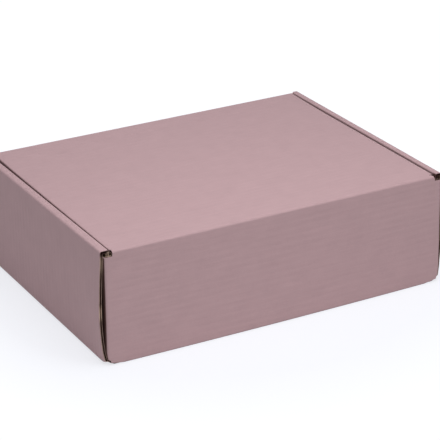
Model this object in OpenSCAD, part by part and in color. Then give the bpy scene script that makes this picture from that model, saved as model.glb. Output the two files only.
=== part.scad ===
// Closed mailer box, folded from one die-cut sheet of corrugated board.
// The tray is the base, the four walls, the corner flaps and the rolled-over side walls.
// The lid is the rest of the sheet, beyond the crease along the top of the back wall.
// The front wall faces -Y. The back wall, with the lid's crease, faces +Y.

/* [Box] */
// Length over the two side walls
box_l = 320; // [260:1:400]
// Depth over the front and back walls
box_w = 241; // [200:1:300]
// Height over the ridges of the side walls
box_h = 99; // [85:1:140]

/* [Board] */
// Thickness of the corrugated board
board_t = 2.4; // [1.8:0.1:3]
// Outside radius of a pressed crease
crease_r = 1.8; // [1.2:0.1:2.4]
// Play between two layers that lie side by side
layer_play = 0.2; // [0.15:0.05:0.4]

/* [Side walls] */
// Play between the cut ends of a side wall and the front and back walls
end_play = 0.8; // [0.3:0.1:3]
// Number of lock tabs on each inner side wall
tab_count = 2; // [1:1:3]
// Width of a lock tab at its root
tab_w = 38; // [24:1:50]
// Distance between the middles of two neighbouring lock tabs
tab_pitch = 92; // [60:1:94]
// How much a lock tab narrows towards its tip, on each side
tab_taper = 1.6; // [0.4:0.2:3]
// Play all round a lock tab in its slot
slot_play = 0.4; // [0.2:0.1:0.8]
// How far the tip of a lock tab stays above the underside of the base
tab_lift = 0.4; // [0.2:0.1:1]

/* [Corner flaps] */
// Length of a corner flap beyond its fold
flap_run = 92; // [50:1:96]
// Height of a corner flap's lower edge over the underside of the base
flap_foot = 7.5; // [5:0.5:14]
// How far the cut at each lower corner reaches in along the front and back walls
foot_cut = 3.5; // [2.5:0.5:8]
// How far the top edge of a corner flap lies under the top of the ridges
flap_drop = 4.5; // [3.5:0.5:9]
// How much a corner flap narrows just past its fold, above and below
flap_taper = 3; // [1:0.5:14]
// Radius of the corners at a corner flap's free end
flap_round = 8; // [4:0.5:20]

/* [Lid] */
// Play between the lid and each inner side wall
lid_play = 0.6; // [0.4:0.1:1.5]
// How far the lid's face lies under the top of the ridges
lid_drop = 0.5; // [0:0.1:1.5]
// Play between the back wall's half of the lid crease and the lid's half
hinge_slit = 0.3; // [0.2:0.05:0.6]
// How far the lid's turning axis stands out of the crease
hinge_out = 0.3; // [0.2:0.1:1]
// How far each end of the lid crease stops short of the lid's side
hinge_relief = 0.8; // [0.5:0.1:3]
// Depth of the lid's side flaps under their folds
dust_h = 50; // [20:1:60]
// How far a side flap's fold stops short of the lid's front and back folds
dust_relief = 2.5; // [2:0.5:10]
// How much a side flap narrows towards its lower edge, at each end
dust_taper = 18; // [8:1:24]
// Radius of a side flap's lower corners
dust_round = 8; // [3:0.5:20]

/* [Tuck flap] */
// Depth of the tuck flap under its fold
tuck_h = 62; // [40:1:70]
// How far each end of the tuck flap's fold stops short of the lid's side
tuck_inset = 5; // [3:0.5:20]
// How much the tuck flap narrows towards its lower edge, at each end
tuck_taper = 3; // [1:0.5:15]
// Radius of the tuck flap's lower corners
tuck_round = 14; // [4:1:30]
// Play between the tuck flap's fold and the front wall
tuck_play = 0.6; // [0.4:0.1:1.5]
// Play between the tuck flap's lower edge and the front wall as the lid swings
swing_play = 1.2; // [0.5:0.1:4]
// How far the front wall's top edge lies under the lid's face
front_drop = 1.6; // [0:0.1:4]

/* [Hidden] */
$fn = 48;

tray_pink = "#a78a90";
lid_pink = "#b0949a";

// Number of short edges in a round corner of the die-cut outline
corner_steps = 8;

// How far a crease or a lock tab runs on into the panel that it belongs to
root_run = board_t / 2;

// Width of the ridge on a side wall: the outer wall, a corner flap and the inner wall
ridge_w = 3 * board_t + 2 * layer_play;
side_x = box_l / 2;
inner_x = side_x - ridge_w;
flap_x = side_x - board_t - layer_play;
wall_y = box_w / 2;
side_y = wall_y - board_t - end_play;
inner_foot = board_t + layer_play;
flap_top = box_h - flap_drop;

lid_z = box_h - lid_drop;
lid_x = inner_x - lid_play;
hinge_x = lid_x - hinge_relief;
tuck_x = lid_x - tuck_inset;
front_y = wall_y - board_t - tuck_play;
dust_front = -front_y + crease_r + dust_relief;
dust_back = wall_y - crease_r - dust_relief;

// The lid turns about an axis just outside the middle of its crease
hinge_reach = (crease_r + hinge_out) * cos(45);
hinge_y = wall_y - crease_r + hinge_reach;
hinge_z = lid_z - crease_r + hinge_reach;

// The tuck flap leans in by just as much as lets its lower edge swing past the front wall. The turning
// axis, the middle of the flap's fold and the flap's lower edge are a triangle with three known sides.
fold_run = hinge_y + front_y - crease_r;
fold_to_hinge = norm([fold_run, hinge_reach]);
fold_to_edge = norm([crease_r, tuck_h]);
hinge_to_edge = hinge_y + wall_y - board_t - swing_play;
side_squares = pow(fold_to_hinge, 2) + pow(fold_to_edge, 2) - pow(hinge_to_edge, 2);
fold_angle = acos(side_squares / (2 * fold_to_hinge * fold_to_edge));
tuck_lean = 90 + atan(hinge_reach / fold_run) + atan(crease_r / tuck_h) - fold_angle;

function unit(v) = v / norm(v);
function turned(v, angle) = [v.x * cos(angle) - v.y * sin(angle), v.x * sin(angle) + v.y * cos(angle)];

// The points of a round corner, between the corners before it and after it
function round_corner(before, here, after, radius) =
    let (back = unit(before - here))
    let (ahead = unit(after - here))
    let (half = acos(back * ahead) / 2)
    let (middle = here + unit(back + ahead) * radius / sin(half))
    let (first = here + back * radius / tan(half) - middle)
    let (turn = sign(cross(ahead, back)) * (180 - 2 * half))
    [for (i = [0:corner_steps]) middle + turned(first, turn * i / corner_steps)];

function flat(corner) = [corner.x, corner.y];

// A die-cut outline from its corners, each given as its place and its radius
function die_line(corners) =
    let (last = len(corners) - 1)
    [
        for (i = [0:last])
            let (before = corners[i == 0 ? last : i - 1])
            let (after = corners[i == last ? 0 : i + 1])
            let (here = corners[i])
            each here.z > 0
                ? round_corner(flat(before), flat(here), flat(after), here.z)
                : [flat(here)]
    ];

// A rectangle from its lowest and highest corner
module span(low, high) {
    translate(low) square(high - low);
}

// A folded crease, seen along it: its round outside, a quarter of a disc about the origin, and the roots of
// the two panels that meet in it
module crease() {
    inside = crease_r - board_t;
    intersection() {
        circle(r = crease_r);
        square(crease_r);
    }
    span([-root_run, inside], [0, crease_r]);
    span([inside, -root_run], [crease_r, 0]);
}

// Extrudes an outline drawn in X and Z along Y
module along_y(from, to) {
    translate([0, to, 0]) rotate([90, 0, 0]) linear_extrude(height = to - from) children();
}

// Extrudes an outline drawn in Y and Z along X
module along_x(from, to) {
    translate([from, 0, 0]) rotate([90, 0, 90]) linear_extrude(height = to - from) children();
}

module on_both_sides() {
    children();
    mirror([1, 0, 0]) children();
}

// The places of the lock tabs along a side wall
function tab_places() = [for (i = [0:tab_count - 1]) (i - (tab_count - 1) / 2) * tab_pitch];

// The base, with a slot for each lock tab
module base_panel() {
    edge_x = side_x - crease_r;
    edge_y = wall_y - crease_r;
    slot_end = tab_w / 2 + slot_play;
    linear_extrude(height = board_t) difference() {
        span([-edge_x, -edge_y], [edge_x, edge_y]);
        on_both_sides() for (y = tab_places())
            span([inner_x - slot_play, y - slot_end], [inner_x + board_t + slot_play, y + slot_end]);
    }
}

// The right side wall from the base, seen along Y: outer wall, ridge and inner wall
module side_section() {
    crease_x = side_x - crease_r;
    crease_z = box_h - crease_r;
    translate([crease_x, crease_r]) rotate(-90) crease();
    span([side_x - board_t, crease_r], [side_x, crease_z]);
    translate([crease_x, crease_z]) crease();
    span([inner_x + crease_r, box_h - board_t], [crease_x, box_h]);
    translate([inner_x + crease_r, crease_z]) rotate(90) crease();
    span([inner_x, inner_foot], [inner_x + board_t, crease_z]);
}

// A lock tab, seen along X, from the foot of the inner wall down into its slot
module tab_outline() {
    root = tab_w / 2;
    tip = root - tab_taper;
    polygon([
        [-tip, tab_lift],
        [tip, tab_lift],
        [root, board_t],
        [root, inner_foot + root_run],
        [-root, inner_foot + root_run],
        [-root, board_t]
    ]);
}

module side_wall() {
    along_y(-side_y, side_y) side_section();
    for (y = tab_places())
        translate([0, y, 0]) along_x(inner_x, inner_x + board_t) tab_outline();
}

// An end wall's panel, seen along Y. Its lower corners are cut on a slant, and its top edge steps down
// where the corner flaps begin.
module end_wall_outline(top) {
    fold_x = flap_x - crease_r;
    foot_x = flap_x - foot_cut;
    right = [
        [foot_x, crease_r],
        [fold_x, flap_foot],
        [fold_x, flap_top],
        [hinge_x, flap_top],
        [hinge_x, top]
    ];
    left = [for (i = [len(right) - 1:-1:0]) [-right[i].x, right[i].y]];
    polygon(concat(right, left));
}

// The corner flap beside the back wall, seen along X
module corner_flap_outline() {
    fold = wall_y - crease_r;
    root = fold - root_run;
    neck = root - flap_taper;
    tip = wall_y - crease_r - flap_run;
    low = flap_foot + flap_taper;
    high = flap_top - flap_taper;
    polygon(die_line([
        [root, flap_foot, 0],
        [fold, flap_foot, 0],
        [fold, flap_top, 0],
        [root, flap_top, 0],
        [neck, high, 0],
        [tip, high, flap_round],
        [tip, low, flap_round],
        [neck, low, 0]
    ]));
}

// An end wall with its two corner flaps and the crease along its foot. Its outer face is on +Y.
module end_wall(top) {
    foot_x = flap_x - foot_cut;
    along_y(wall_y - board_t, wall_y) end_wall_outline(top);
    along_x(-foot_x, foot_x) translate([wall_y - crease_r, crease_r]) rotate(-90) crease();
    on_both_sides() {
        translate([flap_x - crease_r, wall_y - crease_r, flap_foot])
            linear_extrude(height = flap_top - flap_foot) crease();
        along_x(flap_x - board_t, flap_x) corner_flap_outline();
    }
}

// The lid crease with the roots of the back wall and of the top
module lid_crease() {
    along_x(-hinge_x, hinge_x) translate([wall_y - crease_r, lid_z - crease_r]) crease();
}

// The room past the middle of the lid crease, seen along X: in the lid, or turned over, in the back wall
module past_hinge(turn = 0) {
    reach = 4 * board_t;
    along_x(-side_x, side_x)
        translate([hinge_y, hinge_z]) rotate(45 + turn) span([-reach, -hinge_slit / 2], [reach, reach]);
}

module back_wall() {
    difference() {
        union() {
            end_wall(lid_z - crease_r);
            lid_crease();
        }
        past_hinge();
    }
}

module front_wall() {
    mirror([0, 1, 0]) end_wall(lid_z - front_drop);
}

module tray() {
    color(tray_pink) {
        base_panel();
        on_both_sides() side_wall();
        back_wall();
        front_wall();
    }
}

// The lid's top, seen from above. Its front corners are cut on a slant that starts just past the ends of
// the tuck flap's fold, and its back corners step out to the ends of the lid crease.
module top_outline() {
    edge_x = lid_x - crease_r;
    right = [
        [tuck_x + board_t / 2, -front_y + crease_r],
        [edge_x, dust_front],
        [edge_x, dust_back],
        [hinge_x, dust_back],
        [hinge_x, wall_y - crease_r]
    ];
    left = [for (i = [len(right) - 1:-1:0]) [-right[i].x, right[i].y]];
    polygon(concat(right, left));
}

module top_panel() {
    difference() {
        union() {
            translate([0, 0, lid_z - board_t]) linear_extrude(height = board_t) top_outline();
            lid_crease();
        }
        past_hinge(180);
    }
}

// A side flap of the lid, seen along X
module dust_outline() {
    fold_z = lid_z - crease_r;
    root = fold_z - root_run;
    low = fold_z - dust_h;
    polygon(die_line([
        [dust_back, fold_z, 0],
        [dust_front, fold_z, 0],
        [dust_front, root, 0],
        [dust_front + dust_taper, low, dust_round],
        [dust_back - dust_taper, low, dust_round],
        [dust_back, root, 0]
    ]));
}

module dust_flap() {
    along_y(dust_front, dust_back) translate([lid_x - crease_r, lid_z - crease_r]) crease();
    along_x(lid_x - board_t, lid_x) dust_outline();
}

// The tuck flap's cut edges, seen along Y. The middle of its fold is at the origin.
module tuck_outline() {
    tip_x = tuck_x - tuck_taper;
    polygon(die_line([
        [tuck_x, 2 * crease_r, 0],
        [-tuck_x, 2 * crease_r, 0],
        [-tuck_x, -board_t, 0],
        [-tip_x, -tuck_h, tuck_round],
        [tip_x, -tuck_h, tuck_round],
        [tuck_x, -board_t, 0]
    ]));
}

// The end of the top, the fold and the leaning flap in section, seen along X, to below the flap's edge
module tuck_section() {
    inside = board_t - crease_r;
    below = -tuck_h - board_t;
    fold_corner = crease_r * tan(45 + tuck_lean / 2);
    polygon(die_line([
        [crease_r, crease_r, 0],
        [-fold_corner, crease_r, crease_r],
        concat(turned([-crease_r, below], tuck_lean), 0),
        concat(turned([inside, below], tuck_lean), 0),
        concat(turned([inside, 0], tuck_lean), 0)
    ]));
}

module tuck_flap() {
    translate([0, -front_y + crease_r, lid_z - crease_r]) intersection() {
        along_x(-lid_x, lid_x) tuck_section();
        rotate([tuck_lean, 0, 0]) along_y(-tuck_h, tuck_h) tuck_outline();
    }
}

module lid() {
    color(lid_pink) {
        top_panel();
        on_both_sides() dust_flap();
        tuck_flap();
    }
}

tray();
lid();
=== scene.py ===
"""A closed mailer box of corrugated board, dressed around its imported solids."""

import math

import bpy
import numpy as np
from mathutils import Matrix, Vector


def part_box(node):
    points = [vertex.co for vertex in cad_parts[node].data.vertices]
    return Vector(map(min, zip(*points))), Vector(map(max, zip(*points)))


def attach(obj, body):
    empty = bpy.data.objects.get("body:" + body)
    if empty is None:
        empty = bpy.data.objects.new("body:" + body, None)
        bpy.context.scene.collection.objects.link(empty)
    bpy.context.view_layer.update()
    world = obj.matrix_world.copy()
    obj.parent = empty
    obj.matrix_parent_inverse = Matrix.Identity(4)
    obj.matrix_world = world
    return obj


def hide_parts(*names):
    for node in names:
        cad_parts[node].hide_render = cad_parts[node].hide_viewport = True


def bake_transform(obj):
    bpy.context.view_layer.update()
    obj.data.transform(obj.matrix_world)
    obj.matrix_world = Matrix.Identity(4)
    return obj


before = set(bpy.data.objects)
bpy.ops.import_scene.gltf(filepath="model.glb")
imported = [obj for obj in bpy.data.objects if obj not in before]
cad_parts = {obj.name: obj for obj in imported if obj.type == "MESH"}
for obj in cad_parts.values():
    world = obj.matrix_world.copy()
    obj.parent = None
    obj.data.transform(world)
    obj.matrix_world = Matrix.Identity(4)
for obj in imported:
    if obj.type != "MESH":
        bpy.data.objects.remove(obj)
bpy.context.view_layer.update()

MM = 0.001

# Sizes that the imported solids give
TRAY_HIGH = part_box("tray")[1]
LID_LOW, LID_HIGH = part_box("lid")
SIDE_X = TRAY_HIGH.x
WALL_Y = TRAY_HIGH.y
TOP_Z = TRAY_HIGH.z
LID_X = LID_HIGH.x
LID_Z = LID_HIGH.z

# Board
BOARD = 2.4 * MM
CREASE = 1.8 * MM
SHARP_CREASE = 1 * MM
LAYER_PLAY = 0.2 * MM
LINER = 0.4 * MM
MEDIUM = 0.3 * MM
FLUTE_PITCH = 6.2 * MM
INSIDE_ROUND = 0.3 * MM

# Side walls
END_PLAY = 0.8 * MM
FOOT_PLAY = 0.2 * MM
TAB_COUNT = 2
TAB_W = 38 * MM
TAB_PITCH = 92 * MM
TAB_TAPER = 1.6 * MM
TAB_LIFT = 0.4 * MM
SLOT_PLAY = 0.4 * MM

# Corner flaps
FLAP_RUN = 92 * MM
FLAP_FOOT = 3.2 * MM
FOOT_CUT = 1.9 * MM
FLAP_DROP = 4.5 * MM
FLAP_TAPER = 3 * MM
FLAP_ROUND = 8 * MM
ROOT_RUN = BOARD / 2

# Lid
HINGE_RELIEF = 0.8 * MM
HINGE_LEAD = 2 * MM
DUST_H = 50 * MM
DUST_RELIEF = 2.5 * MM
DUST_TAPER = 18 * MM
DUST_ROUND = 8 * MM
TUCK_H = 62 * MM
TUCK_INSET = 5 * MM
TUCK_TAPER = 3 * MM
TUCK_ROUND = 14 * MM
TUCK_PLAY = 0.6 * MM
FRONT_DROP = 1.6 * MM

# In front of its side flaps, the lid has ears that stand out past its sides and start over a short stretch
EAR_W = 0.9 * MM
EAR_STEP = 1 * MM

# The lid's front fold springs up a little
LID_RISE = 1.2 * MM
LID_RISE_REACH = 70 * MM

# The side walls' cut ends stand out from the corner flaps, on the left and on the right of the back wall:
# how far, how near the foot (nearer with a skew under 1), how pointed, and how far along the wall
BOW_LEFT = 2.8 * MM
BOW_RIGHT = 2.2 * MM
SKEW_LEFT = 0.8
SKEW_RIGHT = 1.1
BOW_POWER = 1.3
BOW_REACH = 60 * MM

# The end walls' corner folds stand out at the foot
FOLD_LEAN = 0.8 * MM
FOLD_LEAN_REACH = 30 * MM

# The right ridge is pressed narrower than the left one, which is pressed at the front alone. The lid lies
# a little to the right and is narrower at the front.
PRESS_RIGHT = 1.2 * MM
PRESS_SKEW = 0.2 * MM
PRESS_LEFT = 1.0 * MM
LID_SHIFT = 0.4 * MM
LID_NARROW = 0.7 * MM

# The lid's crease is torn back at its right end, and so is the fold of the flap beside it
TORN_END = 1.7 * MM
TORN_FLAP = 0.8 * MM

# The base's short edges are worn in and up, its corners are crushed up, and the back wall bulges at its
# foot
WORN_FOOT = 0.8 * MM
WORN_LIFT = 0.48 * MM
WORN_HEIGHT = 10 * MM
CRUSH = 3.4 * MM
CRUSH_REACH = 8 * MM
CRUSH_HEIGHT = 16 * MM
BULGE = 1.7 * MM
BULGE_HEIGHT = 80 * MM

# At the front, a ridge and the outer wall under it reach almost to the front wall's face. The inner wall
# steps back from there over a short stretch.
RIDGE_PLAY = 0.5 * MM
RIDGE_STEP = 1.5 * MM

# The front wall's top edge reaches under the ridges' inner edges
FRONT_REACH = 1.6 * MM

# Places that follow from the sizes
RIDGE_W = 3 * BOARD + 2 * LAYER_PLAY
INNER_X = SIDE_X - RIDGE_W
FLAP_X = SIDE_X - BOARD - LAYER_PLAY
FOLD_X = FLAP_X - CREASE
FOOT_X = FLAP_X - FOOT_CUT
EDGE_X = SIDE_X - CREASE
EDGE_Y = WALL_Y - CREASE
SIDE_Y = WALL_Y - BOARD - END_PLAY
INNER_FOOT = BOARD + FOOT_PLAY
FLAP_TOP = TOP_Z - FLAP_DROP
HINGE_X = LID_X - HINGE_RELIEF
TUCK_X = LID_X - TUCK_INSET
LID_EAR_X = LID_X + EAR_W
LID_FOLD_X = LID_X - CREASE
FRONT_Y = WALL_Y - BOARD - TUCK_PLAY
DUST_FRONT = -FRONT_Y + CREASE + DUST_RELIEF
DUST_BACK = WALL_Y - CREASE - DUST_RELIEF
TUCK_DROP = LID_Z - CREASE - LID_LOW.z
TUCK_LEAN = math.atan2(CREASE, TUCK_H) + math.acos(TUCK_DROP / math.hypot(CREASE, TUCK_H))

# The mesh's fineness, and the angle past which its edges are sharp
FOLD_STEPS = 6
FLUTE_STEPS = 4
ROW_STEP = 8 * MM
COLUMN_STEP = 12 * MM
BASE_ROW_STEP = 5 * MM
BASE_COLUMNS = 12
BASE_EDGE_COLUMNS = 3
SIDE_ROW_STEP = 9 * MM
SIDE_COLUMN_STEP = 4 * MM
END_ROW_STEP = 4 * MM
FLAP_COLUMNS = 12
LID_COLUMNS = 12
CREASE_ROW_STEP = HINGE_LEAD / 5
ROUND_STEPS = 6
SHARP_ANGLE = math.radians(40)

# Places along a path, in metres: the digits that they are rounded to, how near each other two are the
# same, and how far outside a stretch one still counts as on it
PLACE_DIGITS = 7
SAME_PLACE = 1e-7
ON_STRETCH = 1e-9

# Material slots of every piece of board, in this order
PRINT, KRAFT, CUT, FLUTES = range(4)

# How much of the flat sheet a right-angled fold takes
FOLD_LENGTH = math.pi / 2 * CREASE

# Places across the flutes on the flat sheet, from the base's front edge. A flute starts where it meets the
# back ends of the side walls at its outermost.
FLUTE_START = EDGE_Y + SIDE_Y + FLUTE_PITCH / 4
BACK_START = 2 * EDGE_Y
CREASE_END = BACK_START + 2 * FOLD_LENGTH + LID_Z - 2 * CREASE + HINGE_LEAD

# Places along the flutes on the flat sheet, from its middle: a ridge's outer fold ends at the first, and
# the middle of its inner fold is the second
RIDGE_START = EDGE_X + 2 * FOLD_LENGTH + TOP_Z - 2 * CREASE
RIDGE_END = RIDGE_START + RIDGE_W - CREASE - SHARP_CREASE + math.pi / 4 * SHARP_CREASE

X = np.array([1.0, 0.0, 0.0])
Y = np.array([0.0, 1.0, 0.0])
Z = np.array([0.0, 0.0, 1.0])


def heading(angle):
    """The direction of a path at this angle."""
    return np.array([math.cos(angle), math.sin(angle)])


def outward(angle):
    """The direction to the right of a path at this angle."""
    return np.array([np.sin(angle), -np.cos(angle)])


class Path:
    """The outer line of a folded strip of board in its own plane. Every fold turns left, so that the outer
    face is on the right. Beside a fold the inner face is squeezed, so that it meets the next panel's."""

    def __init__(self, start, angle=0.0):
        self.point = np.array(start, float)
        self.angle = angle
        self.length = 0.0
        self.stretches = []

    def add(self, length, turn, end, radius=CREASE):
        self.stretches.append((self.length, length, self.point, self.angle, turn, radius))
        self.point = end
        self.angle += turn
        self.length += length
        return self

    def straight(self, length):
        return self.add(length, 0.0, self.point + length * heading(self.angle))

    def fold(self, turn=math.pi / 2, radius=CREASE):
        middle = self.point - radius * outward(self.angle)
        return self.add(radius * turn, turn, middle + radius * outward(self.angle + turn), radius)

    def squeeze(self, index):
        """How much shorter the inner face is beside the fold with this index, if there is one."""
        if not 0 <= index < len(self.stretches):
            return 0.0
        turn, radius = self.stretches[index][4:]
        return (BOARD - radius + INSIDE_ROUND) * math.tan(turn / 2)

    def at(self, places):
        """The outer and the inner point at each place along the path."""
        places = np.clip(places, 0.0, self.length)
        outer = np.zeros((len(places), 2))
        inner = np.zeros((len(places), 2))
        for index, (start, length, point, angle, turn, radius) in enumerate(self.stretches):
            here = (places >= start - ON_STRETCH) & (places <= start + length + ON_STRETCH)
            run = places[here] - start
            if turn:
                deep = (BOARD - radius + INSIDE_ROUND) / math.cos(turn / 2)
                middle = point - radius * outward(angle)
                inside = middle - deep * outward(angle + turn / 2)
                out = outward(angle + turn * run / length).T
                outer[here] = middle + radius * out
                inner[here] = inside + INSIDE_ROUND * out
            else:
                lead = min(HINGE_LEAD, length / 2)
                before = self.squeeze(index - 1)
                after = self.squeeze(index + 1)
                inner_run = np.interp(
                    run, [0, lead, length - lead, length], [before, lead, length - lead, length - after]
                )
                outer[here] = point + run[:, None] * heading(angle)
                inner[here] = point + inner_run[:, None] * heading(angle) - BOARD * outward(angle)
        return outer, inner

    def rows(self, start, end, step):
        """Places from start to end: close together in folds, and at most step apart elsewhere."""
        found = [start, end]
        for first, length, _, _, turn, _ in self.stretches:
            low = max(first, start)
            high = min(first + length, end)
            if high > low:
                count = FOLD_STEPS if turn else max(1, math.ceil((high - low) / step))
                found.extend(np.linspace(low, high, count + 1))
        found = np.array(sorted(found))
        return found[np.append(True, np.diff(found) > SAME_PLACE)]


class Sheet:
    """Collects the closed slabs of board that make up one piece, with a place on the flat sheet for each
    point: along the flutes and across them, in metres."""

    def __init__(self):
        self.points = []
        self.faces = []
        self.slots = []
        self.flat = []
        self.count = 0

    def slab(self, top, bottom, flat, slots, flip):
        """A closed slab between two grids of points, with the slots of its top, bottom and cut edges."""
        rows, columns = top.shape[:2]
        total = rows * columns
        number = np.arange(total).reshape(rows, columns)
        over = number + self.count
        under = over + total

        def quads(a, b, c, d, slot):
            found = np.stack([a, b, c, d], axis=-1).reshape(-1, 4)
            self.faces.append(found[:, ::-1] if flip else found)
            self.slots.append(np.full(len(found), slot))

        quads(over[:-1, :-1], over[1:, :-1], over[1:, 1:], over[:-1, 1:], slots[0])
        quads(under[:-1, :-1], under[:-1, 1:], under[1:, 1:], under[1:, :-1], slots[1])
        quads(over[0, :-1], over[0, 1:], under[0, 1:], under[0, :-1], slots[2])
        quads(over[-1, 1:], over[-1, :-1], under[-1, :-1], under[-1, 1:], slots[2])
        quads(over[1:, 0], over[:-1, 0], under[:-1, 0], under[1:, 0], slots[2])
        quads(over[:-1, -1], over[1:, -1], under[1:, -1], under[:-1, -1], slots[2])
        self.points.extend([top.reshape(-1, 3), bottom.reshape(-1, 3)])
        self.flat.extend([flat.reshape(-1, 2)] * 2)
        self.count += 2 * total

    def build(self, name, materials):
        mesh = bpy.data.meshes.new(name)
        faces = np.concatenate(self.faces)
        flat = np.concatenate(self.flat)
        mesh.from_pydata(np.concatenate(self.points).tolist(), [], faces.tolist())
        mesh.polygons.foreach_set("material_index", np.concatenate(self.slots).astype(np.int32))
        layer = mesh.uv_layers.new(name="board")
        layer.data.foreach_set("uv", flat[faces.ravel()].astype(np.float32).ravel())
        for material in materials:
            mesh.materials.append(material)
        mesh.shade_smooth()
        mesh.set_sharp_from_angle(angle=SHARP_ANGLE)
        mesh.validate()
        mesh.update()
        piece = bpy.data.objects.new(name, mesh)
        bpy.context.scene.collection.objects.link(piece)
        return piece


class Panel:
    """A way to lay a path's plane and the direction across it into the box's frame, and on the flat sheet:
    start is the place there of the path's start, and sense the directions along and across the flutes."""

    def __init__(self, ahead, up, across, flutes_ahead, start=(0.0, 0.0), sense=(1, 1), settle=None):
        self.axes = np.stack([ahead, up, across])
        self.flutes_ahead = flutes_ahead
        self.start = start
        self.sense = sense
        self.settle = settle
        self.flip = np.linalg.det(self.axes) < 0

    def place(self, points, spread):
        """Points of the path's plane, one for each row, drawn out to the places across in spread."""
        flat = np.repeat(points[:, None, :], spread.shape[1], axis=1)
        found = np.concatenate([flat, spread[:, :, None]], axis=2) @ self.axes
        return self.settle(found) if self.settle else found


def edge_at(places, edge):
    """How far out a cut edge is, given as a number or as breakpoints, at each place along the path."""
    return np.interp(places, *edge) if isinstance(edge, tuple) else np.full(len(places), edge)


def edge_values(edge):
    """The number, or the numbers at the breakpoints, that a cut edge is given as."""
    return edge[1] if isinstance(edge, tuple) else edge


def with_rows(places, more_rows):
    """The places with these rows among them, each one once."""
    return np.unique(np.concatenate([places, np.array(more_rows, float)]).round(PLACE_DIGITS))


def layer(sheet, panel, path, places, low, high, columns, depths, slots):
    """One paper of the board as a closed slab, between the shares of the board's depth that depths gives
    for each place on the flat sheet."""
    share = np.linspace(0, 1, columns + 1)
    low = edge_at(places, low)
    high = edge_at(places, high)
    spread = low[:, None] + (high - low)[:, None] * share
    outer, inner = path.at(places)
    along = np.repeat(places[:, None], columns + 1, axis=1)
    across = spread
    if not panel.flutes_ahead:
        along, across = across, along
    flat = np.stack([along, across], axis=-1) * panel.sense + panel.start
    outside = panel.place(outer, spread)
    inside = panel.place(inner, spread)
    start, end = depths(flat[:, :, 1])
    top = outside + (inside - outside) * start[:, :, None]
    bottom = outside + (inside - outside) * end[:, :, None]
    sheet.slab(top, bottom, flat, slots, panel.flip)


def outer_liner(across):
    return np.zeros_like(across), np.full_like(across, LINER / BOARD)


def inner_liner(across):
    return np.full_like(across, 1 - LINER / BOARD), np.ones_like(across)


def fluted_medium(across):
    swing = 0.5 - (LINER + MEDIUM / 2) / BOARD
    middle = 0.5 + swing * np.sin(2 * math.pi * (across - FLUTE_START) / FLUTE_PITCH)
    half = MEDIUM / BOARD / 2
    return middle - half, middle + half


def board(sheet, panel, path, start, end, low, high, columns=1, row_step=ROW_STEP, more_rows=()):
    """A stretch of board between two places along the path. Low and high are the places of its two cut
    edges across the path, as numbers or as breakpoints."""
    places = with_rows(path.rows(start, end, row_step), more_rows)
    wave_places = places
    wave_columns = columns
    if panel.flutes_ahead:
        width = np.max(edge_values(high)) - np.min(edge_values(low))
        wave_columns = max(columns, math.ceil(width / FLUTE_PITCH * FLUTE_STEPS))
    else:
        wave_places = with_rows(path.rows(start, end, FLUTE_PITCH / FLUTE_STEPS), more_rows)
    layer(sheet, panel, path, places, low, high, columns, outer_liner, (PRINT, FLUTES, CUT))
    layer(sheet, panel, path, wave_places, low, high, wave_columns, fluted_medium, (FLUTES, FLUTES, CUT))
    layer(sheet, panel, path, places, low, high, columns, inner_liner, (FLUTES, KRAFT, CUT))


def rounded_end(start, end, first, last, radius):
    """Breakpoints of a cut edge that runs from first, at start, to last, at end, and turns in there by a
    round corner of this radius."""
    places = [start]
    edges = [first]
    for step in range(ROUND_STEPS + 1):
        angle = math.pi / 2 * step / ROUND_STEPS
        place = end - radius * (1 - math.sin(angle))
        edge = first + (last - first) * (place - start) / (end - start)
        places.append(place)
        edges.append(edge - radius * (1 - math.cos(angle)))
    return places, edges


def tab_places():
    """The places of the lock tabs' middles along a side wall."""
    return [(number - (TAB_COUNT - 1) / 2) * TAB_PITCH for number in range(TAB_COUNT)]


def bow(points):
    """How far a side wall stands out near its cut ends."""
    left = points[..., 0] > 0
    height = np.clip((points[..., 2] - CREASE) / (TOP_Z - 2 * CREASE), 0, 1)
    skewed = height ** np.where(left, SKEW_LEFT, SKEW_RIGHT)
    rise = np.abs(np.sin(math.pi * skewed)) ** BOW_POWER
    return np.where(left, BOW_LEFT, BOW_RIGHT) * rise * end_reach(points)


def end_reach(points):
    """One at the cut ends of the side walls, and less further in."""
    return np.clip(1 - (SIDE_Y - np.abs(points[..., 1])) / BOW_REACH, 0, 1) ** 2


def settle_foot(points):
    """Wears the base's short edges, crushes its corners and bulges the foot of the back wall."""
    moved = points.copy()
    x, y, z = (points[..., axis] for axis in range(3))
    beside = np.clip(1 - (EDGE_X - np.abs(x)) / WORN_HEIGHT, 0, 1) ** 2
    low = np.clip(1 - z / WORN_HEIGHT, 0, 1) ** 2
    moved[..., 0] -= np.sign(x) * WORN_FOOT * beside * low
    moved[..., 2] += WORN_LIFT * beside * low
    away = np.hypot(np.maximum(EDGE_X - np.abs(x), 0), np.maximum(EDGE_Y - np.abs(y), 0))
    corner = np.clip(1 - away / CRUSH_REACH, 0, 1) ** 2
    moved[..., 2] += CRUSH * corner * np.clip(1 - z / CRUSH_HEIGHT, 0, 1)
    long_way = 1 - np.clip(np.abs(x) / FOLD_X, 0, 1) ** 2
    outer = np.clip(2 * y / WALL_Y - 1, 0, 1)
    moved[..., 1] += BULGE * long_way * outer * np.clip(1 - z / BULGE_HEIGHT, 0, 1)
    return moved


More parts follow.
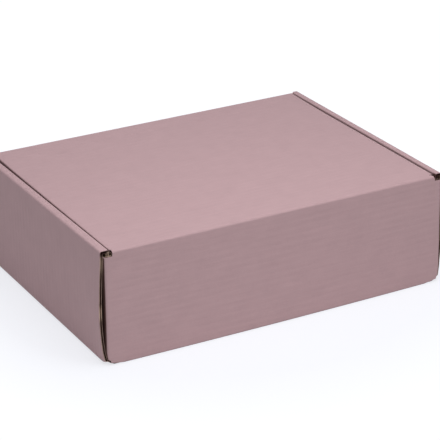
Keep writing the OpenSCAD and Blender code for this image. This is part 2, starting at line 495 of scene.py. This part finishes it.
def settle_side(points):
    """Bows the outer wall of a side and presses its ridge and the top of its inner wall outwards."""
    side = np.sign(points[..., 0])
    wide = np.abs(points[..., 0])
    outermost = np.clip((wide - FLAP_X) / LAYER_PLAY, 0, 1)
    innermost = np.clip((SIDE_X - RIDGE_W / 2 - wide) / (RIDGE_W / 2 - BOARD), 0, 1)
    back = points[..., 1] / WALL_Y
    press = np.where(side > 0, PRESS_LEFT * (1 - back) / 2, PRESS_RIGHT + PRESS_SKEW * back)
    moved = settle_foot(points)
    moved[..., 0] += side * bow(points) * outermost
    moved[..., 0] += side * press * innermost * np.clip(points[..., 2] / TOP_Z, 0, 1) ** 2
    return moved


def settle_flap(points):
    """Lets the corner folds of an end wall stand out at the foot, no further than the side wall."""
    lean = FOLD_LEAN * np.clip(1 - points[..., 2] / TOP_Z, 0, 1) * end_reach(points)
    lean = np.minimum(lean, bow(points) + LAYER_PLAY / 2)
    share = np.clip((np.abs(points[..., 0]) - FLAP_X + FOLD_LEAN_REACH) / (FOLD_LEAN_REACH - BOARD), 0, 1)
    moved = settle_foot(points)
    moved[..., 0] += np.sign(points[..., 0]) * lean * share
    return moved


def settle_lid(points):
    """Lifts the front of the lid, moves the lid to the right and draws its front corners in."""
    share = np.clip((LID_RISE_REACH - FRONT_Y - points[..., 1]) / LID_RISE_REACH, 0, 1)
    high = np.clip((points[..., 2] - FLAP_TOP) / (LID_Z - FLAP_TOP), 0, 1)
    narrow = LID_NARROW * (1 - points[..., 1] / WALL_Y) / 2
    moved = points.copy()
    moved[..., 0] -= (LID_SHIFT + narrow * points[..., 0] / LID_X) * high
    moved[..., 2] += LID_RISE * share * share
    return moved


def add_base(sheet):
    """The base panel, in stretches that leave the slots for the lock tabs free."""
    panel = Panel(Y, Z, X, False, settle=settle_foot)
    path = Path((-EDGE_Y, 0.0)).straight(2 * EDGE_Y)
    slot_low = INNER_X - SLOT_PLAY
    slot_high = INNER_X + BOARD + SLOT_PLAY
    board(sheet, panel, path, 0, path.length, -slot_low, slot_low, BASE_COLUMNS, BASE_ROW_STEP)
    slot_half = TAB_W / 2 + SLOT_PLAY
    cuts = [0.0]
    for middle in tab_places():
        cuts.extend([EDGE_Y + middle - slot_half, EDGE_Y + middle + slot_half])
    cuts.append(path.length)
    for side in (-1, 1):
        low, high = sorted((side * slot_high, side * EDGE_X))
        board(sheet, panel, path, 0, path.length, low, high, BASE_EDGE_COLUMNS, BASE_ROW_STEP)
        low, high = sorted((side * slot_low, side * slot_high))
        for start, end in zip(cuts[::2], cuts[1::2]):
            board(sheet, panel, path, start, end, low, high, row_step=BASE_ROW_STEP)


def add_side_wall(sheet, side):
    """The outer wall, the ridge and the inner wall with its lock tabs, on the side with this sign."""
    panel = Panel(side * X, Z, Y, True, start=(side * EDGE_X, EDGE_Y), sense=(side, 1), settle=settle_side)
    path = Path((EDGE_X, 0.0)).fold().straight(TOP_Z - 2 * CREASE).fold()
    ridge = path.straight(RIDGE_W - CREASE - SHARP_CREASE).length
    path.fold(radius=SHARP_CREASE).straight(TOP_Z - SHARP_CREASE - INNER_FOOT)
    front_rows = [0, ridge, ridge + RIDGE_STEP, path.length]
    front = (front_rows, [RIDGE_PLAY - WALL_Y] * 2 + [-SIDE_Y] * 2)
    columns = math.ceil(2 * SIDE_Y / SIDE_COLUMN_STEP)
    board(sheet, panel, path, 0, path.length, front, SIDE_Y, columns, SIDE_ROW_STEP, front_rows)
    tab_start = (side * (EDGE_X + path.length), EDGE_Y)
    tab_panel = Panel(side * X, Z, Y, True, start=tab_start, sense=(side, 1))
    tab = Path((INNER_X, INNER_FOOT), -math.pi / 2).straight(INNER_FOOT - TAB_LIFT)
    for middle in tab_places():
        root = TAB_W / 2
        tip = root - TAB_TAPER
        narrow = ([0, tab.length], [middle + root, middle + tip])
        wide = ([0, tab.length], [middle - root, middle - tip])
        board(sheet, tab_panel, tab, 0, tab.length, wide, narrow)


def mirrored(breaks):
    """The same cut edge on the other side of the middle."""
    return breaks[0], [-edge for edge in breaks[1]]


def add_end_wall(sheet, side, path, top):
    """The back or the front wall with its corner flaps. Its path goes up from the base to its top."""
    start = BACK_START if side > 0 else 0.0
    panel = Panel(side * Y, Z, X, False, start=(0.0, start), sense=(1, side), settle=settle_flap)
    fold = FOLD_LENGTH
    foot = fold + FLAP_FOOT - CREASE
    step = fold + FLAP_TOP - CREASE
    flap_lead = FOLD_X - HINGE_LEAD
    slanted = ([0, fold, foot], [FOOT_X, FOOT_X, FOLD_X])
    columns = math.ceil(2 * FOLD_X / COLUMN_STEP)
    board(sheet, panel, path, 0, foot, mirrored(slanted), slanted, columns)
    board(sheet, panel, path, foot, step, -flap_lead, flap_lead, columns, END_ROW_STEP)
    reach = HINGE_X if side > 0 else HINGE_X + FRONT_REACH
    board(sheet, panel, path, step, top, -reach, reach, columns)
    for end in (-1, 1):
        add_corner_flap(sheet, end, side)


def add_corner_flap(sheet, end, side):
    """A flap that is folded in from one end of the back or the front wall."""
    foot = FOLD_LENGTH - CREASE
    start = (end * (FOLD_X - HINGE_LEAD), BACK_START + foot if side > 0 else -foot)
    panel = Panel(end * X, -side * Y, Z, True, start=start, sense=(end, side), settle=settle_flap)
    path = Path((FOLD_X - HINGE_LEAD, -WALL_Y)).straight(HINGE_LEAD).fold().straight(FLAP_RUN)
    root = path.length - FLAP_RUN + ROOT_RUN
    neck = root + FLAP_TAPER
    centre = (FLAP_TOP + FLAP_FOOT) / 2
    half = FLAP_TOP - centre
    places, edges = rounded_end(neck, path.length, half - FLAP_TAPER, half - FLAP_TAPER, FLAP_ROUND)
    high = ([0, root, *places], [FLAP_TOP, FLAP_TOP, *(centre + edge for edge in edges)])
    low = ([0, root, *places], [FLAP_FOOT, FLAP_FOOT, *(centre - edge for edge in edges)])
    board(sheet, panel, path, 0, path.length, low, high, FLAP_COLUMNS, ROW_STEP, [root, *places])


def wall_path(height):
    """The outer line of an end wall, from the base's edge up to a height."""
    return Path((EDGE_Y, 0.0)).fold().straight(height - CREASE)


def build_tray(materials):
    """The base and the walls."""
    sheet = Sheet()
    add_base(sheet)
    for side in (-1, 1):
        add_side_wall(sheet, side)
    back = wall_path(LID_Z - CREASE)
    add_end_wall(sheet, 1, back, back.length - HINGE_LEAD)
    front = wall_path(LID_Z - FRONT_DROP)
    add_end_wall(sheet, -1, front, front.length)
    return sheet.build("tray_board", materials)


def build_crease(materials):
    """The board through the lid's crease."""
    panel = Panel(Y, Z, X, False, start=(0.0, BACK_START), settle=settle_lid)
    path = wall_path(LID_Z - CREASE).fold().straight(HINGE_LEAD)
    start = path.length - FOLD_LENGTH - 2 * HINGE_LEAD
    sheet = Sheet()
    right = ([start, path.length - HINGE_LEAD], [-HINGE_X, TORN_END - HINGE_X])
    board(sheet, panel, path, start, path.length, right, HINGE_X, LID_COLUMNS, CREASE_ROW_STEP)
    return sheet.build("lid_crease", materials)


def build_lid(materials):
    """The top panel with its ears, the tuck flap and the two side flaps."""
    sheet = Sheet()
    panel = Panel(-Y, -Z, X, False, start=(0.0, CREASE_END), settle=settle_lid)
    back = EDGE_Y - HINGE_LEAD
    front = -FRONT_Y + CREASE
    path = Path((-back, -LID_Z)).straight(back - front).fold(math.pi / 2 + TUCK_LEAN).straight(TUCK_H)
    band = back - DUST_BACK
    fold = back - front
    slant = back - DUST_FRONT
    flap = path.length - TUCK_H
    side_edge = LID_FOLD_X - HINGE_LEAD
    board(sheet, panel, path, 0, band, TORN_END - HINGE_X, HINGE_X, LID_COLUMNS)
    board(sheet, panel, path, band, slant, -side_edge, side_edge, LID_COLUMNS)
    slant_rows = [slant, slant + EAR_STEP, fold]
    slanted = (slant_rows, [LID_FOLD_X, LID_EAR_X, LID_EAR_X])
    board(sheet, panel, path, slant, fold, mirrored(slanted), slanted, LID_COLUMNS, ROW_STEP, slant_rows)
    places, edges = rounded_end(flap + BOARD, path.length, TUCK_X, TUCK_X - TUCK_TAPER, TUCK_ROUND)
    ear = (fold + flap) / 2
    edge = ([fold, ear, flap, flap + BOARD, *places], [LID_EAR_X, LID_EAR_X, TUCK_X, TUCK_X, *edges])
    rows = [ear, *places]
    board(sheet, panel, path, fold, path.length, mirrored(edge), edge, LID_COLUMNS, ROW_STEP, rows)
    for side in (-1, 1):
        add_dust_flap(sheet, side)
    return sheet.build("lid_board", materials)


def add_dust_flap(sheet, side):
    """A side flap of the lid, which hangs inside a side wall."""
    start = (side * (LID_FOLD_X - HINGE_LEAD), CREASE_END + EDGE_Y - HINGE_LEAD)
    panel = Panel(side * X, -Z, Y, True, start=start, sense=(side, -1), settle=settle_lid)
    path = Path((LID_FOLD_X - HINGE_LEAD, -LID_Z)).straight(HINGE_LEAD + CREASE - SHARP_CREASE)
    path.fold(radius=SHARP_CREASE).straight(DUST_H + CREASE - SHARP_CREASE)
    root = path.length - DUST_H + ROOT_RUN
    centre = (DUST_BACK + DUST_FRONT) / 2
    half = DUST_BACK - centre
    places, edges = rounded_end(root, path.length, half, half - DUST_TAPER, DUST_ROUND)
    back = DUST_BACK if side > 0 else DUST_BACK - TORN_FLAP
    high = ([0, root, *places[1:]], [back, back, *(centre + edge for edge in edges[1:])])
    low = ([0, *places], [DUST_FRONT, *(centre - edge for edge in edges)])
    board(sheet, panel, path, 0, path.length, low, high, FLAP_COLUMNS, ROW_STEP, places)


# Materials

PRINT_COLOUR = (0.74, 0.616, 0.633)
# The colour of the painted shade in the slits beside the corner flaps, in the grooves beside the lid and
# along the foot
PAINTED_SHADE_COLOUR = (0.36, 0.25, 0.235)
KRAFT_COLOUR = (0.62, 0.50, 0.38)
CUT_COLOUR = (0.70, 0.59, 0.54)
# The fluted paper's own brown, darkened further as painted shade for the hollows between the liners
FLUTE_COLOUR = (0.38, 0.26, 0.235)
# The near-black of the painted shade in the notches at the ridges' ends
NOTCH_SHADE_COLOUR = (0.22, 0.10, 0.11)
CRUSHED_COLOUR = (0.80, 0.70, 0.62)

# Most of a noise lies in this range
NOISE_RANGE = (0.3, 0.7)

# The ripple of the flutes wanders along them, and is stronger in some patches
WANDER_SCALE = (6.0, 40.0, 1.0)
WANDER_ANGLE = 1.5
PATCH_SCALE = 28.0
PATCH_RANGE = (0.35, 0.65)
PATCH_WEAKEST = 0.35

# The print's ripple, streaks, mottling and grain: how fine each one is, how far it lightens and darkens
# the paper, and how deep it is
STREAK_SCALE = (45.0, 560.0, 1.0)
MOTTLE_SCALE = 60.0
GRAIN_SCALE = 650.0
RIPPLE_TONE = 0.006
STREAK_TONE = 0.024
MOTTLE_TONE = 0.024
GRAIN_TONE = 0.015
RIPPLE_DEPTH = 0.055 * MM
STREAK_DEPTH = 0.09 * MM
MOTTLE_DEPTH = 0.2 * MM
GRAIN_DEPTH = 0.06 * MM
PRINT_ROUGHNESS = (0.62, 0.78)
PRINT_SPECULAR = 0.35

# The brown papers' fibres and flecks
FIBRE_SCALE = (160.0, 1100.0, 1.0)
FIBRE_RANGE = (0.7, 1.3)
PAPER_RIPPLE_DEPTH = 0.03 * MM
PAPER_ROUGHNESS = (0.8, 0.95)
PAPER_SPECULAR = 0.2

# Painted shade in the slits beside the corner flaps, which starts round the far sides of their folds, and
# this far up from the base
SLIT_START = (FOLD_X + FOLD_LENGTH - 1.2 * MM, FOLD_X + FOLD_LENGTH + 0.2 * MM)
SLIT_MARGIN = 2 * MM

# Painted shade in the grooves between the lid and the ridges, which starts round these places on the flat
# sheet and fades further down. On the inner walls it is weak, and darkest at their back ends.
LID_GROOVE = LID_X + 0.2 * MM
WALL_GROOVE = RIDGE_END
GROOVE_START = (-0.6 * MM, 0.4 * MM)
GROOVE_FADE = (4 * MM, 12 * MM)
LID_GROOVE_SHARE = 0.8
WALL_GROOVE_SHARES = (0.4, 1.0)
WALL_GROOVE_BACK = (EDGE_Y + SIDE_Y - 5 * MM, EDGE_Y + SIDE_Y - 3 * MM)

# A thin line of painted shade along the foot, where the box meets the floor
FOOT_LINE = (0.2 * MM, 1.5 * MM)
FOOT_SHARE = 0.75

# Painted shade: the cut papers turn dark between these heights, in the notches at the ridges' ends
NOTCH_HEIGHT = (TOP_Z - 5.5 * MM, TOP_Z - 3.5 * MM)
NOTCH_SHADE_SHARE = 0.85

# Worn places on the cut papers at the near left corner: the pale end of the inner wall and of the flap
# beside it, and the crushed and the frayed place on the outer wall's end. Each has its middle, and the
# distances from it at which it starts to fade and ends.
PALE_END = ((INNER_X + 0.3 * MM, SIDE_Y, TOP_Z - 3.8 * MM), 2.0 * MM, 2.8 * MM)
CRUSHED_PLACE = ((SIDE_X + 1.5 * MM, SIDE_Y, 46 * MM), 3.0 * MM, 8.0 * MM)
FRAYED_PLACE = ((SIDE_X - BOARD / 2, SIDE_Y, TOP_Z - 11 * MM), 3.0 * MM, 9.0 * MM)
FRAYED_SHARE = 0.7
WORN_SHARE = 0.8


def linear(colour):
    """An sRGB colour, written as it shows on a screen, as the shader's own linear values."""
    found = [c / 12.92 if c <= 0.04045 else ((c + 0.055) / 1.055) ** 2.4 for c in colour]
    return (*found, 1.0)


class Nodes:
    """A short way to fill an emptied node tree and link its nodes."""

    def __init__(self, tree, output):
        self.tree = tree
        self.tree.nodes.clear()
        self.surface = self.add(output).inputs["Surface"]

    def add(self, kind, **settings):
        node = self.tree.nodes.new(kind)
        for key, value in settings.items():
            setattr(node, key, value)
        return node

    def link(self, start, end):
        self.tree.links.new(start, end)

    def put(self, socket, value):
        if isinstance(value, bpy.types.NodeSocket):
            self.link(value, socket)
        else:
            socket.default_value = value

    def math(self, operation, first, second=0.0):
        node = self.add("ShaderNodeMath", operation=operation)
        self.put(node.inputs[0], first)
        self.put(node.inputs[1], second)
        return node.outputs[0]

    def split(self, vector):
        """The vector's X, Y and Z."""
        node = self.add("ShaderNodeSeparateXYZ")
        self.put(node.inputs[0], vector)
        return node.outputs

    def noise(self, vector, scale=1.0, detail=3.0, roughness=0.55):
        node = self.add("ShaderNodeTexNoise")
        self.put(node.inputs["Vector"], vector)
        node.inputs["Scale"].default_value = scale
        node.inputs["Detail"].default_value = detail
        node.inputs["Roughness"].default_value = roughness
        return node.outputs["Fac"]

    def stretched(self, vector, scale):
        node = self.add("ShaderNodeVectorMath", operation="MULTIPLY")
        self.put(node.inputs[0], vector)
        node.inputs[1].default_value = scale
        return node.outputs[0]

    def mix(self, factor, first, second):
        node = self.add("ShaderNodeMix", data_type="RGBA")
        self.put(node.inputs["Factor"], factor)
        self.put(node.inputs["A"], first)
        self.put(node.inputs["B"], second)
        return node.outputs["Result"]

    def remap(self, value, low, high, to_low, to_high):
        node = self.add("ShaderNodeMapRange")
        numbers = (low, high, to_low, to_high)
        for name, number in zip(("From Min", "From Max", "To Min", "To Max"), numbers):
            node.inputs[name].default_value = number
        self.put(node.inputs["Value"], value)
        return node.outputs["Result"]

    def spread(self, noise, low, high):
        """A noise drawn out, so that most of it runs from low to high."""
        return self.remap(noise, *NOISE_RANGE, low, high)

    def bump(self, height, distance, normal=None):
        node = self.add("ShaderNodeBump")
        self.put(node.inputs["Height"], height)
        node.inputs["Distance"].default_value = distance
        if normal is not None:
            self.put(node.inputs["Normal"], normal)
        return node.outputs["Normal"]

    def paper(self, colour, roughness, specular, normal):
        """Puts a paper's shader on the surface."""
        shader = self.add("ShaderNodeBsdfPrincipled")
        self.put(shader.inputs["Base Color"], colour)
        self.put(shader.inputs["Roughness"], roughness)
        shader.inputs["Specular IOR Level"].default_value = specular
        self.put(shader.inputs["Normal"], normal)
        self.link(shader.outputs["BSDF"], self.surface)

    def diffuse(self, colour):
        node = self.add("ShaderNodeBsdfDiffuse")
        node.inputs["Color"].default_value = colour
        return node.outputs[0]

    def mix_shaders(self, factor, first, second):
        node = self.add("ShaderNodeMixShader")
        for socket, value in zip(node.inputs, (factor, first, second)):
            self.put(socket, value)
        return node.outputs[0]


def new_material(name):
    """A new material and its nodes."""
    material = bpy.data.materials.new(name)
    material.use_nodes = True
    return material, Nodes(material.node_tree, "ShaderNodeOutputMaterial")


def sheet_place(nodes):
    """The place on the flat sheet, along the flutes and across them, in metres."""
    return nodes.add("ShaderNodeUVMap", uv_map="board").outputs["UV"]


def solid_place(nodes):
    return nodes.add("ShaderNodeTexCoord").outputs["Object"]


def flute_ripple(nodes, flat, solid):
    """The flutes as they show through a liner: even waves across them, stronger in some places."""
    wander = nodes.noise(nodes.stretched(flat, WANDER_SCALE), detail=2.0)
    from_start = nodes.math("SUBTRACT", nodes.split(flat)["Y"], FLUTE_START)
    phase = nodes.math("MULTIPLY", from_start, 2 * math.pi / FLUTE_PITCH)
    phase = nodes.math("ADD", phase, nodes.math("MULTIPLY", wander, WANDER_ANGLE))
    patches = nodes.noise(solid, PATCH_SCALE, detail=2.0)
    strength = nodes.remap(patches, *PATCH_RANGE, PATCH_WEAKEST, 1.0)
    return nodes.math("MULTIPLY", nodes.math("SINE", phase), strength)


def slit_shade(nodes, flat):
    """Painted shade: one on the corner flaps past the far side of their folds, where they stand in the dark
    slits between the walls."""
    place = nodes.split(flat)
    past = nodes.remap(nodes.math("ABSOLUTE", place["X"]), *SLIT_START, 0.0, 1.0)
    back = nodes.math("MULTIPLY", nodes.math("GREATER_THAN", place["Y"], BACK_START + SLIT_MARGIN),
                      nodes.math("LESS_THAN", place["Y"], BACK_START + FLAP_TOP))
    front = nodes.math("LESS_THAN", place["Y"], -SLIT_MARGIN)
    return nodes.math("MULTIPLY", past, nodes.math("ADD", back, front))


def below_groove(nodes, along, start):
    """One from this place along the flutes, and fading out below it."""
    rise = nodes.remap(along, start + GROOVE_START[0], start + GROOVE_START[1], 0.0, 1.0)
    fall = nodes.remap(along, start + GROOVE_FADE[0], start + GROOVE_FADE[1], 1.0, 0.0)
    return nodes.math("MULTIPLY", rise, fall)


def groove_shade(nodes, flat):
    """Painted shade on both sides of the grooves between the lid and the ridges."""
    place = nodes.split(flat)
    along = nodes.math("ABSOLUTE", place["X"])
    lid = nodes.math("MULTIPLY", below_groove(nodes, along, LID_GROOVE),
                     nodes.math("GREATER_THAN", place["Y"], CREASE_END))
    wall = nodes.math("MULTIPLY", below_groove(nodes, along, WALL_GROOVE),
                      nodes.math("LESS_THAN", place["Y"], BACK_START))
    wall_share = nodes.remap(place["Y"], *WALL_GROOVE_BACK, *WALL_GROOVE_SHARES)
    return nodes.math("ADD", nodes.math("MULTIPLY", lid, LID_GROOVE_SHARE),
                      nodes.math("MULTIPLY", wall, wall_share))


def foot_shade(nodes, solid):
    """A thin line of painted shade along the foot."""
    return nodes.remap(nodes.split(solid)["Z"], *FOOT_LINE, FOOT_SHARE, 0.0)


def printed_liner():
    """Pink printed paper: matt, with streaks along the flutes, soft mottling and a fine grain, and painted
    shade in the slits, in the grooves and along the foot.
    """
    material, nodes = new_material("printed_liner")
    flat = sheet_place(nodes)
    solid = solid_place(nodes)
    ripple = flute_ripple(nodes, flat, solid)
    streaks = nodes.noise(nodes.stretched(flat, STREAK_SCALE), detail=4.0, roughness=0.6)
    mottle = nodes.noise(solid, MOTTLE_SCALE, detail=4.0, roughness=0.6)
    grain = nodes.noise(solid, GRAIN_SCALE, roughness=0.6)
    tone = nodes.math("MULTIPLY", ripple, RIPPLE_TONE)
    normal = nodes.bump(ripple, RIPPLE_DEPTH)
    for noise, share, depth in (
        (streaks, STREAK_TONE, STREAK_DEPTH),
        (mottle, MOTTLE_TONE, MOTTLE_DEPTH),
        (grain, GRAIN_TONE, GRAIN_DEPTH),
    ):
        tone = nodes.math("ADD", tone, nodes.spread(noise, -share, share))
        normal = nodes.bump(noise, depth, normal)
    # Painted shade: the flaps in the slits, the grooves beside the lid and a thin line along the foot turn
    # towards one dark colour
    painted_shade = nodes.math("MAXIMUM", slit_shade(nodes, flat), groove_shade(nodes, flat))
    colour = nodes.mix(painted_shade, linear(PRINT_COLOUR), linear(PAINTED_SHADE_COLOUR))
    colour = nodes.mix(foot_shade(nodes, solid), colour, linear(PAINTED_SHADE_COLOUR))
    bright = nodes.add("ShaderNodeHueSaturation")
    nodes.put(bright.inputs["Color"], colour)
    nodes.put(bright.inputs["Value"], nodes.math("ADD", tone, 1.0))
    roughness = nodes.spread(grain, *PRINT_ROUGHNESS)
    nodes.paper(bright.outputs["Color"], roughness, PRINT_SPECULAR, normal)
    return material


def near_place(nodes, solid, place, low, high):
    """One inside low of a place in the box's frame, and nought beyond high."""
    away = nodes.add("ShaderNodeVectorMath", operation="DISTANCE")
    nodes.put(away.inputs[0], solid)
    away.inputs[1].default_value = place
    return nodes.remap(away.outputs["Value"], low, high, 1.0, 0.0)


def worn_and_shaded_cuts(nodes, solid, colour):
    """Darkens the cut papers with painted shade in the notches at the ridges' ends, apart from the left
    inner wall's pale end, and lightens the worn places on the left side wall's back end."""
    # Painted shade in the notches at the ridges' ends
    notch = nodes.remap(nodes.split(solid)["Z"], *NOTCH_HEIGHT, 0.0, 1.0)
    pale_end = near_place(nodes, solid, *PALE_END)
    shade = nodes.math("MULTIPLY", notch, nodes.math("SUBTRACT", 1.0, pale_end))
    colour = nodes.mix(nodes.math("MULTIPLY", shade, NOTCH_SHADE_SHARE), colour, linear(NOTCH_SHADE_COLOUR))
    crushed = near_place(nodes, solid, *CRUSHED_PLACE)
    frayed = nodes.math("MULTIPLY", near_place(nodes, solid, *FRAYED_PLACE), FRAYED_SHARE)
    worn = nodes.math("MAXIMUM", nodes.math("MAXIMUM", crushed, frayed), pale_end)
    return nodes.mix(nodes.math("MULTIPLY", worn, WORN_SHARE), colour, linear(CRUSHED_COLOUR))


def kraft_paper(name, colour, dark_share, fleck_scale, depth, cut=False):
    """Plain brown paper with fibres, specks and a soft ripple from the flutes."""
    material, nodes = new_material(name)
    flat = sheet_place(nodes)
    solid = solid_place(nodes)
    fibres = nodes.noise(nodes.stretched(flat, FIBRE_SCALE), detail=4.0, roughness=0.65)
    flecks = nodes.noise(solid, fleck_scale, roughness=0.7)
    both = nodes.math("ADD", fibres, flecks)
    share = nodes.remap(both, *FIBRE_RANGE, 0.0, 1.0)
    paper = nodes.mix(share, linear(darker(colour, dark_share)), linear(colour))
    if cut:
        paper = worn_and_shaded_cuts(nodes, solid, paper)
    normal = nodes.bump(flute_ripple(nodes, flat, solid), PAPER_RIPPLE_DEPTH)
    normal = nodes.bump(both, depth, normal)
    nodes.paper(paper, nodes.spread(flecks, *PAPER_ROUGHNESS), PAPER_SPECULAR, normal)
    return material


def darker(colour, share):
    return tuple(c * share for c in colour)


def board_materials():
    """The board's papers, in the order of the slots. The number after a brown paper's colour is the share
    of it that its fibres darken it to, and depth is how deep its fibres and flecks are."""
    return [
        printed_liner(),
        kraft_paper("kraft_liner", KRAFT_COLOUR, 0.86, fleck_scale=900.0, depth=0.03 * MM),
        kraft_paper("cut_paper", CUT_COLOUR, 0.7, fleck_scale=1500.0, depth=0.08 * MM, cut=True),
        # The fluted paper, darker than the liners as painted shade for the hollows inside the board
        kraft_paper("fluted_paper", FLUTE_COLOUR, 0.75, fleck_scale=1200.0, depth=0.05 * MM, cut=True),
    ]


# Floor, light and camera

# The floor's colour and strength where it is seen, the colour, share and fading of its shadow there, and
# its colour in the light that it gives back
FLOOR_SHOWN = (0.955, 0.965, 1.0, 1.0)
FLOOR_STRENGTH = 1.06
FLOOR_SHADED = (0.9, 0.92, 1.0, 1.0)
FLOOR_SHADOW_SHARE = 0.3
FLOOR_SHADOW_REACH = (0.2, 0.29)
FLOOR_LIT = (0.92, 0.92, 0.92, 1.0)
FLOOR_SIZE = 8.0


def seen_directly(nodes):
    """One where a camera, mirror or clear ray comes in, and nought for the light on the object."""
    path = nodes.add("ShaderNodeLightPath").outputs
    mirror_or_clear = nodes.math("MAXIMUM", path["Is Glossy Ray"], path["Is Transmission Ray"])
    return nodes.math("MAXIMUM", path["Is Camera Ray"], mirror_or_clear)


def floor_material():
    """White with a soft shadow where it is seen, and a plain pale floor in the light that it gives back."""
    material, nodes = new_material("floor")
    white = nodes.add("ShaderNodeEmission")
    white.inputs["Color"].default_value = FLOOR_SHOWN
    white.inputs["Strength"].default_value = FLOOR_STRENGTH
    away = nodes.add("ShaderNodeVectorMath", operation="LENGTH")
    nodes.put(away.inputs[0], solid_place(nodes))
    share = nodes.remap(away.outputs["Value"], *FLOOR_SHADOW_REACH, FLOOR_SHADOW_SHARE, 0.0)
    shown = nodes.mix_shaders(share, white.outputs[0], nodes.diffuse(FLOOR_SHADED))
    nodes.link(nodes.mix_shaders(seen_directly(nodes), nodes.diffuse(FLOOR_LIT), shown), nodes.surface)
    return material


def add_floor():
    mesh = bpy.data.meshes.new("floor")
    half = FLOOR_SIZE / 2
    corners = [(-half, -half, 0), (half, -half, 0), (half, half, 0), (-half, half, 0)]
    mesh.from_pydata(corners, [], [(0, 1, 2, 3)])
    floor = bpy.data.objects.new("floor", mesh)
    bpy.context.scene.collection.objects.link(floor)
    mesh.materials.append(floor_material())


WORLD_STRENGTH = 0.35
WORLD_COLOUR = (0.95, 0.97, 1.0, 1.0)
WHITE = (1.0, 1.0, 1.0, 1.0)


def background(nodes, colour, strength):
    node = nodes.add("ShaderNodeBackground")
    node.inputs["Color"].default_value = colour
    node.inputs["Strength"].default_value = strength
    return node.outputs[0]


def add_world():
    """White where it is seen, and a soft light on the object."""
    world = bpy.data.worlds.new("studio")
    bpy.context.scene.world = world
    world.use_nodes = True
    nodes = Nodes(world.node_tree, "ShaderNodeOutputWorld")
    light = background(nodes, WORLD_COLOUR, WORLD_STRENGTH)
    shown = nodes.mix_shaders(seen_directly(nodes), light, background(nodes, WHITE, 1.0))
    nodes.link(shown, nodes.surface)


# The lamps turn to this place in the box
MIDDLE = Vector((0.0, 0.0, 0.05))
# Each lamp: name, place, width, power in watts, colour
LAMPS = (
    ("key", (-0.86, 0.36, 1.9), 2.2, 4.7, (0.99, 0.985, 0.97)),
    ("overhead", (0.05, 0.27, 0.72), 0.5, 3.15, (1.0, 0.985, 0.97)),
)


def add_lamps():
    for name, place, width, power, colour in LAMPS:
        light = bpy.data.lights.new(name, "AREA")
        light.shape = "SQUARE"
        light.size = width
        light.energy = power
        light.color = colour
        lamp = bpy.data.objects.new(name, light)
        lamp.location = place
        lamp.rotation_euler = (MIDDLE - Vector(place)).to_track_quat("-Z", "Y").to_euler()
        bpy.context.scene.collection.objects.link(lamp)


# The camera's place and turn, worked out from the box's edges in the photograph
CAMERA_PLACE = Vector((0.7376, 1.3816, 0.7282))
CAMERA_AZIMUTH = math.radians(28.41)
CAMERA_ELEVATION = math.radians(23.52)
CAMERA_ROLL = math.radians(-0.85)
PHOTO_PIXELS = 440
FOCAL_PIXELS = 1967.5
SENSOR = 36.0


def add_camera():
    sine, cosine = math.sin(CAMERA_AZIMUTH), math.cos(CAMERA_AZIMUTH)
    level = math.cos(CAMERA_ELEVATION)
    ahead = Vector((-sine * level, -cosine * level, -math.sin(CAMERA_ELEVATION)))
    right = Vector((-cosine, sine, 0.0))
    up = right.cross(ahead)
    rolled_right = right * math.cos(CAMERA_ROLL) + up * math.sin(CAMERA_ROLL)
    rolled_up = up * math.cos(CAMERA_ROLL) - right * math.sin(CAMERA_ROLL)
    turn = Matrix((rolled_right, rolled_up, -ahead)).transposed().to_4x4()
    lens = bpy.data.cameras.new("camera")
    lens.sensor_width = SENSOR
    lens.lens = FOCAL_PIXELS / PHOTO_PIXELS * SENSOR
    camera = bpy.data.objects.new("camera", lens)
    camera.matrix_world = Matrix.Translation(CAMERA_PLACE) @ turn
    bpy.context.scene.collection.objects.link(camera)
    bpy.context.scene.camera = camera


add_camera()
add_world()
add_lamps()
add_floor()

materials = board_materials()
tray = build_tray(materials)
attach(tray, "tray")
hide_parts("tray")

lid = build_lid(materials)
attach(lid, "lid")
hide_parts("lid")

crease = build_crease(materials)
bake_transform(crease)

bpy.context.scene.view_settings.view_transform = "Standard"
